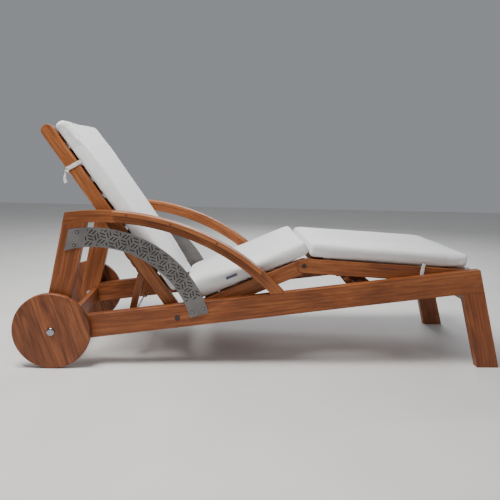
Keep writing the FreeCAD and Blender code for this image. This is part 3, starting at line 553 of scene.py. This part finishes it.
def inflate(item, shape):
    """Swells a closed block as stuffed cloth held at its seams, then limits each move.
    """
    remesh = item.modifiers.new("Remesh", "REMESH")
    remesh.mode = "VOXEL"
    remesh.voxel_size = VOXEL
    apply_modifiers(item)
    shape.crown(item)
    before = points_of(item)
    seams = item.vertex_groups.new(name="seams")
    on_seam = shape.seam_distance(before) < VOXEL * 0.75
    seams.add([int(index) for index in np.nonzero(on_seam)[0]], 1.0, "REPLACE")
    cloth = item.modifiers.new("Cloth", "CLOTH")
    settings = cloth.settings
    settings.vertex_group_mass = seams.name
    settings.use_pressure = True
    settings.uniform_pressure_force = PRESSURE
    settings.effector_weights.gravity = 0
    settings.tension_stiffness = 15
    settings.compression_stiffness = 10
    settings.bending_stiffness = 0.8
    settings.quality = 4
    cloth.collision_settings.use_self_collision = False
    scene = bpy.context.scene
    scene.frame_start = 1
    scene.frame_end = CLOTH_FRAMES
    for step in range(1, CLOTH_FRAMES + 1):
        scene.frame_set(step)
    apply_modifiers(item)
    scene.frame_set(1)
    move = points_of(item) - before
    length = np.linalg.norm(move, axis=1, keepdims=True)
    share = SWELL_LIMIT * np.tanh(length / SWELL_LIMIT) / np.maximum(length, 1e-9)
    set_points(item, before + move * share)
    relax = item.modifiers.new("Relax", "SMOOTH")
    relax.factor = 0.5
    relax.iterations = RELAX_ROUNDS
    apply_modifiers(item)


def read_vertices(item, value):
    """One vector of every vertex, such as its place (co) or its normal."""
    flat = np.zeros(len(item.data.vertices) * 3)
    item.data.vertices.foreach_get(value, flat)
    return flat.reshape(-1, 3)


def points_of(item):
    return read_vertices(item, "co")


def set_points(item, points):
    item.data.vertices.foreach_set("co", points.ravel())
    item.data.update()


def smooth_step(value, low, high):
    t = np.clip((value - low) / (high - low), 0, 1)
    return t * t * (3 - 2 * t)


class BoxShape:
    """Sizes of one boxed cushion about its own middle, in metres."""

    def __init__(self, size, crown_top, crown_base, seed):
        self.full = [value / 2 for value in size]
        self.seed = seed
        self.crown_top = crown_top
        self.crown_base = crown_base
        low = -self.full[2] + crown_base
        high = self.full[2] - crown_top
        self.middle = (low + high) / 2
        self.rise = (high - low) / 2
        self.half = (self.full[0] - END_TRIM, self.full[1] - SIDE_TRIM, self.rise)

    def edge_distance(self, points):
        """Distance of each point from the outline of the cushion, seen from above."""
        return np.minimum(self.half[0] - np.abs(points[:, 0]),
                          self.half[1] - np.abs(points[:, 1]))

    def seam_distance(self, points):
        """Distance from the seams that join the boxing band to the top and base panels."""
        level = np.abs(np.abs(points[:, 2] - self.middle) - self.rise)
        return np.hypot(level, np.maximum(np.abs(self.edge_distance(points)) - VOXEL, 0))

    def crown(self, item):
        """Domes the top and base panels and draws the long sides in between the corners."""
        points = points_of(item)
        inside = np.maximum(self.edge_distance(points), 0)
        full = 1 - np.exp(-inside / CROWN_REACH)
        height = points[:, 2] - self.middle
        above = smooth_step(height, self.rise - PANEL_EDGE, self.rise)
        below = smooth_step(-height, self.rise - PANEL_EDGE, self.rise)
        points[:, 2] += above * full * self.crown_top - below * full * self.crown_base
        for axis, other in ((0, 1), (1, 0)):
            along = points[:, other] / self.half[other]
            reach = np.abs(points[:, axis]) / self.half[axis]
            points[:, axis] -= np.sign(points[:, axis]) * PULL_IN * reach ** 6 * (1 - along ** 2)
        set_points(item, points)


def sew(item, shape):
    """Presses the seams in, puckers the cloth beside them and adds shallow folds."""
    points = points_of(item)
    normals = read_vertices(item, "normal")
    distance = shape.seam_distance(points)
    groove = np.exp(-(distance / GROOVE_WIDTH) ** 2) * GROOVE_DEPTH
    welt = np.exp(-((distance - WELT_OFFSET) / WELT_WIDTH) ** 2) * WELT_HEIGHT
    beside = np.exp(-distance / PUCKER_REACH)
    side = smooth_step(-shape.edge_distance(points), -0.004, 0.002)
    shift = welt - groove
    for index, point in enumerate(points):
        x, y, z = point
        pucker = noise.noise(Vector((x * 34, y * 34, z * 9 + shape.seed)))
        soft = noise.noise(Vector((x * 6 + shape.seed, y * 6, z * 8)))
        drape = noise.noise(Vector((x * 3.2, y * 9 + shape.seed, z * 4)))
        near = beside[index] * (0.4 + side[index])
        shift[index] += pucker * (FACE_PUCKER + SEAM_PUCKER * near)
        shift[index] += soft * SOFT_FOLD + drape * DRAPE_FOLD * (1 - side[index])
    set_points(item, points + normals * shift[:, None])


def make_cushion(name, section, fabric, crown_top, crown_base, seed, knee_end=0):
    """One stuffed cushion in the space of its CAD block.

    knee_end is 1 or -1 where the far or near end meets the other cushion at the knee: the pad
    reaches a little past its block there.
    """
    size = [b - a for a, b in zip(section.low, section.high)]
    size[0] += KNEE_OVERLAP * abs(knee_end)
    shape = BoxShape(size, crown_top, crown_base, seed)
    item = rounded_block(f"{name}_pad", [2 * value for value in shape.half], EDGE_ROUND)
    item.data.transform(Matrix.Translation((0, 0, shape.middle)))
    inflate(item, shape)
    subdivide = item.modifiers.new("Subdivision", "SUBSURF")
    subdivide.levels = 1
    apply_modifiers(item)
    sew(item, shape)
    points = points_of(item)
    limits = np.array(shape.full) + np.array(PAD_MARGINS)
    over = np.maximum(np.abs(points) - limits, 0)
    set_points(item, points - np.sign(points) * over * 0.9)
    item.data.transform(Matrix.Translation((knee_end * KNEE_OVERLAP / 2, 0, 0)))
    item.data.transform(section.matrix())
    item.data.polygons.foreach_set("use_smooth", [True] * len(item.data.polygons))
    item.data.materials.clear()
    item.data.materials.append(fabric)
    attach(item, section.body)
    if knee_end:
        fixed = section.low[0] if knee_end > 0 else section.high[0]
        tuple(section.world(fixed, 0, section.low[2]))
        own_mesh(item)
    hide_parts(f"{name}_cushion")
    return item


# ---------------------------------------------------------------- ties and label

def smooth_path(points, steps):
    """Points along a smooth curve through a few given ones."""
    ends = [points[0] * 2 - points[1], *points, points[-1] * 2 - points[-2]]
    path = []
    for a, b, c, d in zip(ends, ends[1:], ends[2:], ends[3:]):
        for step in range(steps):
            t = step / steps
            path.append(0.5 * (2 * b + (c - a) * t + (2 * a - 5 * b + 4 * c - d) * t ** 2
                               + (3 * b - 3 * c + d - a) * t ** 3))
    return path + [points[-1]]


def ribbon(points, side, width, thickness=TAPE_THICKNESS, steps=6, flare=0.0):
    """A closed bmesh of a flat tape along a path; side is the tape's width direction."""
    path = smooth_path(points, steps)
    bm = bmesh.new()
    rings = []
    for index, point in enumerate(path):
        ahead = path[min(index + 1, len(path) - 1)] - path[max(index - 1, 0)]
        across = (side - ahead * (side.dot(ahead) / ahead.length_squared)).normalized()
        over = ahead.cross(across).normalized()
        share = index / (len(path) - 1)
        half = width / 2 * (1 + flare * share)
        ring = []
        for u in (-1, -0.5, 0, 0.5, 1):
            ripple = noise.noise(Vector((u * 2, index * 0.35, width * 90))) * TAPE_RIPPLE
            ring.append(point + across * half * u + over * (thickness / 2 + ripple))
        for u in (1, 0.5, 0, -0.5, -1):
            ripple = noise.noise(Vector((u * 2, index * 0.35, width * 90))) * TAPE_RIPPLE
            ring.append(point + across * half * u - over * (thickness / 2 - ripple))
        rings.append([bm.verts.new(place) for place in ring])
    for first, second in zip(rings, rings[1:]):
        for index in range(len(first)):
            after = (index + 1) % len(first)
            bm.faces.new((first[index], first[after], second[after], second[index]))
    bm.faces.new(rings[0][::-1])
    bm.faces.new(rings[-1])
    return bm


def knot(centre, size, side):
    """A small knot: two winding turns of tape about one middle."""
    path = []
    second = side.orthogonal().normalized()
    third = side.cross(second)
    for step in range(25):
        turn = math.tau * step / 24 * 2
        reach = size * (0.55 + 0.25 * math.cos(turn * 1.5))
        path.append(centre + second * reach * math.cos(turn) + third * reach * math.sin(turn)
                    + side * size * 0.45 * math.sin(turn * 1.5))
    return ribbon(path, side, size * 0.8, TAPE_THICKNESS * 1.6, steps=2)


def join_bmeshes(name, parts, material):
    """One smooth mesh object made from several bmeshes."""
    whole = bmesh.new()
    for part in parts:
        piece = bpy.data.meshes.new("part")
        part.to_mesh(piece)
        part.free()
        whole.from_mesh(piece)
        bpy.data.meshes.remove(piece)
    bmesh.ops.recalc_face_normals(whole, faces=whole.faces[:])
    mesh = bpy.data.meshes.new(name)
    whole.to_mesh(mesh)
    whole.free()
    item = new_object(name, mesh)
    subdivide = item.modifiers.new("Subdivision", "SUBSURF")
    subdivide.levels = 1
    apply_modifiers(item)
    item.data.polygons.foreach_set("use_smooth", [True] * len(item.data.polygons))
    item.data.materials.append(material)
    return item


def make_ties(name, section, shift, knot_spot, tails, tape):
    """Tapes sewn to a cushion, wrapped round both rails and knotted with loose ends.

    knot_spot is the knot's offset along, outwards and below; a tail is its length, its lean
    towards +X, its width and how much wider it gets towards its end.
    """
    low, high = section.measure(f"{name}_ties")
    station = (low[0] + high[0]) / 2 + shift
    rail_low, rail_high = section.measure(f"{name}_rail_left")
    level = section.low[2] + TIE_SEWN_AT
    for label, sign in (("left", 1), ("right", -1)):
        sides = sorted((sign * abs(rail_low[1]), sign * abs(rail_high[1])), key=abs)
        inner, outer = sides[0] - sign * TAPE_GAP, sides[1] + sign * TAPE_GAP
        under = rail_low[2] - TAPE_GAP
        route = [(0.004, outer + sign * 0.001, level), (0.002, outer, rail_high[2]),
                 (0.0, outer + sign * 0.0006, (rail_high[2] + under) / 2),
                 (-0.002, outer, under + TAPE_TURN),
                 (-0.002, outer - sign * TAPE_TURN, under),
                 (-0.001, (outer + inner) / 2, under - 0.0006),
                 (0.0, inner + sign * TAPE_TURN, under), (0.0, inner, under + TAPE_TURN),
                 (0.0, inner, rail_high[2] - 0.002), (0.0, inner - sign * 0.002, level - 0.006)]
        wrap = [section.world(station + a, b, c) for a, b, c in route]
        parts = [ribbon(wrap, section.along, TAPE_WIDTH)]
        along, aside, drop = knot_spot
        centre = section.world(station + along, outer + sign * aside, under - drop)
        parts.append(knot(centre, KNOT_SIZE, section.along))
        for reach, lean, width, flare in tails:
            down = Vector((lean, sign * 0.12, -1)).normalized()
            bend = Vector((-0.12 * reach, sign * 0.001, 0))
            end = [centre, centre + down * reach * 0.35 + bend, centre + down * reach * 0.7 + bend,
                   centre + down * reach]
            parts.append(ribbon(end, section.along, width, flare=flare))
        item = join_bmeshes(f"{name}_tie_{label}", parts, tape)
        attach(item, section.body)
        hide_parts(f"{name}_ties")


def make_end_ties(section, tape):
    """Narrow tapes at the foot end of the calf cushion, knotted on the rail ends."""
    rail_high = section.measure("calf_rail_left")[1]
    for label, sign in (("left", 1), ("right", -1)):
        edge = sign * (abs(rail_high[1]) - 0.006)
        top = section.world(section.high[0] - 0.010, edge, section.low[2] + 0.014)
        foot = section.world(section.high[0] + 0.002, edge, rail_high[2] + 0.006)
        mid = (top + foot) / 2 + section.along * 0.006
        parts = [ribbon([top, mid, foot], section.across, TAPE_WIDTH * 0.5),
                 knot(foot, END_KNOT_SIZE, section.across)]
        for lean in (-0.016, 0.012):
            end = foot + section.along * lean + section.across * sign * 0.010 - section.up * 0.002
            parts.append(ribbon([foot, (foot + end) / 2 + section.up * 0.003, end],
                                section.up, TAPE_WIDTH * 0.4))
        item = join_bmeshes(f"calf_end_tie_{label}", parts, tape)
        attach(item, section.body)


def make_label(section, cushion):
    """Plain woven label laid on the right side of the seat cushion, with a stitched border."""
    tree = BVHTree.FromPolygons([v.co for v in cushion.data.vertices],
                                [p.vertices for p in cushion.data.polygons])
    start = section.low[0] + LABEL_FROM
    middle = (section.low[2] + section.high[2]) / 2 + LABEL_RISE
    columns, rows = LABEL_CELLS
    beside = section.low[1] * 1.5
    grid = []
    for layer in (LABEL_STANDS_OUT, -LABEL_SINKS_IN):
        for row in range(rows + 1):
            for column in range(columns + 1):
                a = start + LABEL_SIZE[0] * column / columns
                c = middle + LABEL_SIZE[1] * (row / rows - 0.5)
                origin = section.world(a, beside, c)
                hit = tree.ray_cast(origin, Vector((0, 1, 0)))[0]
                grid.append(hit - Vector((0, layer, 0)))
    bm = bmesh.new()
    verts = [bm.verts.new(place) for place in grid]
    count = (rows + 1) * (columns + 1)

    def number(layer, row, column):
        return verts[layer * count + row * (columns + 1) + column]

    for row in range(rows):
        for column in range(columns):
            ring = ((row, column), (row, column + 1), (row + 1, column + 1), (row + 1, column))
            bm.faces.new([number(0, *place) for place in ring])
            bm.faces.new([number(1, *place) for place in reversed(ring)])
    for row in range(rows):
        for column in (0, columns):
            bm.faces.new((number(0, row, column), number(0, row + 1, column),
                          number(1, row + 1, column), number(1, row, column)))
    for column in range(columns):
        for row in (0, rows):
            bm.faces.new((number(0, row, column), number(0, row, column + 1),
                          number(1, row, column + 1), number(1, row, column)))
    item = join_bmeshes("seat_label", [bm], label_cloth(section, start, middle))
    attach(item, section.body)


def label_cloth(section, start, middle):
    """Blue-grey satin tape with a lighter line of stitches inside its border."""
    graph = Graph("label_cloth", roughness=0.55, Sheen_Weight=0.3)
    place = graph.place()
    u = graph.math("SUBTRACT", graph.distance_along(section.along), start + LABEL_SIZE[0] / 2)
    v = graph.math("SUBTRACT", graph.distance_along(section.up), middle)
    side = graph.math("SUBTRACT", LABEL_SIZE[0] / 2, graph.math("ABSOLUTE", u))
    rim = graph.math("SUBTRACT", LABEL_SIZE[1] / 2, graph.math("ABSOLUTE", v))
    edge = graph.math("MINIMUM", side, rim)
    band = graph.math("COMPARE", edge, STITCH_INSET)
    band.node.inputs[2].default_value = STITCH_WIDTH
    stitch = graph.math("GREATER_THAN", graph.math("FRACT", graph.math(
        "MULTIPLY", graph.math("ADD", u, v), STITCHES_PER_METRE)), 0.35)
    thread = graph.math("MULTIPLY", band, stitch)
    weave = graph.noise(graph.mapping(place, scale=(1, 1, 6)), 700.0, 2, 0.5)
    base = graph.mix_colour(0.5, (0.085, 0.10, 0.165),
                            graph.ramp(weave, ((0.3, 0.7), (0.7, 1.2))), "MULTIPLY")
    colour = graph.mix_colour(thread, base, (0.55, 0.57, 0.60))
    return graph.finish(colour, graph.bump(weave, 0.0002, 0.5))


# ---------------------------------------------------------------- stage

def make_stage():
    """Pale floor and soft studio lights."""
    bpy.ops.mesh.primitive_plane_add(size=FLOOR_SIZE, location=(0, 0, cad_bounds[0][2]))
    floor = bpy.context.object
    floor.name = "studio_floor"
    graph = Graph("floor_paper", roughness=0.8, Specular_IOR_Level=0.2)
    speck = graph.noise(graph.place(), 3.0, 3, 0.5)
    floor.data.materials.append(graph.finish(
        graph.ramp(speck, ((0.3, (0.70, 0.69, 0.67)), (0.7, (0.74, 0.73, 0.71))))))
    world = bpy.data.worlds.new("Studio")
    bpy.context.scene.world = world
    world.use_nodes = True
    sky = world.node_tree.nodes["Background"]
    sky.inputs["Color"].default_value = SKY_COLOUR
    sky.inputs["Strength"].default_value = SKY_STRENGTH
    for name, place, aim, size, power, colour in LIGHTS:
        light = bpy.data.lights.new(name, "AREA")
        light.size = size
        light.energy = power
        light.color = colour
        lamp = bpy.data.objects.new(name, light)
        lamp.location = place
        lamp.rotation_euler = (Vector(aim) - Vector(place)).to_track_quat("-Z", "Y").to_euler()
        bpy.context.scene.collection.objects.link(lamp)


def make_camera():
    """The camera described by the values at the top."""
    data = bpy.data.cameras.new("Camera")
    data.lens = CAMERA_LENS
    data.sensor_width = 36
    camera = bpy.data.objects.new("Camera", data)
    bpy.context.scene.collection.objects.link(camera)
    ahead = Vector((math.sin(CAMERA_YAW) * math.cos(CAMERA_PITCH),
                    math.cos(CAMERA_YAW) * math.cos(CAMERA_PITCH), -math.sin(CAMERA_PITCH)))
    level = Vector((math.cos(CAMERA_YAW), -math.sin(CAMERA_YAW), 0))
    upright = level.cross(ahead)
    right = level * math.cos(CAMERA_ROLL) + upright * math.sin(CAMERA_ROLL)
    up = upright * math.cos(CAMERA_ROLL) - level * math.sin(CAMERA_ROLL)
    turn = Matrix((right, up, -ahead)).transposed().to_4x4()
    camera.matrix_world = Matrix.Translation(CAMERA_PLACE) @ turn
    bpy.context.scene.camera = camera


make_camera()
make_stage()
sections = {"back": Section("back", "backrest"), "seat": Section("seat", "seat"),
            "calf": Section("calf", "calf")}
finish_cad_nodes(sections)
fabric = canvas("cushion_canvas")
tape = canvas("tie_tape", (0.78, 0.77, 0.75), 0.0012)
make_cushion("back", sections["back"], fabric, crown_top=0.012, crown_base=0.004, seed=2.0)
seat_pad = make_cushion("seat", sections["seat"], fabric, crown_top=0.010, crown_base=0.008,
                        seed=7.0, knee_end=1)
make_cushion("calf", sections["calf"], fabric, crown_top=0.010, crown_base=0.008,
             seed=11.0, knee_end=-1)
make_ties("back", sections["back"], 0.0, (0.004, -0.004, 0.004),
          ((0.046, -0.06, 0.007, 0.9), (0.014, -0.5, 0.006, 0.1)), tape)
make_ties("calf", sections["calf"], 0.007, (0.0, -0.016, 0.006),
          ((0.034, 0.15, 0.009, 0.3), (0.026, -0.4, 0.008, 0.2)), tape)
make_end_ties(sections["calf"], tape)
make_label(sections["seat"], seat_pad)
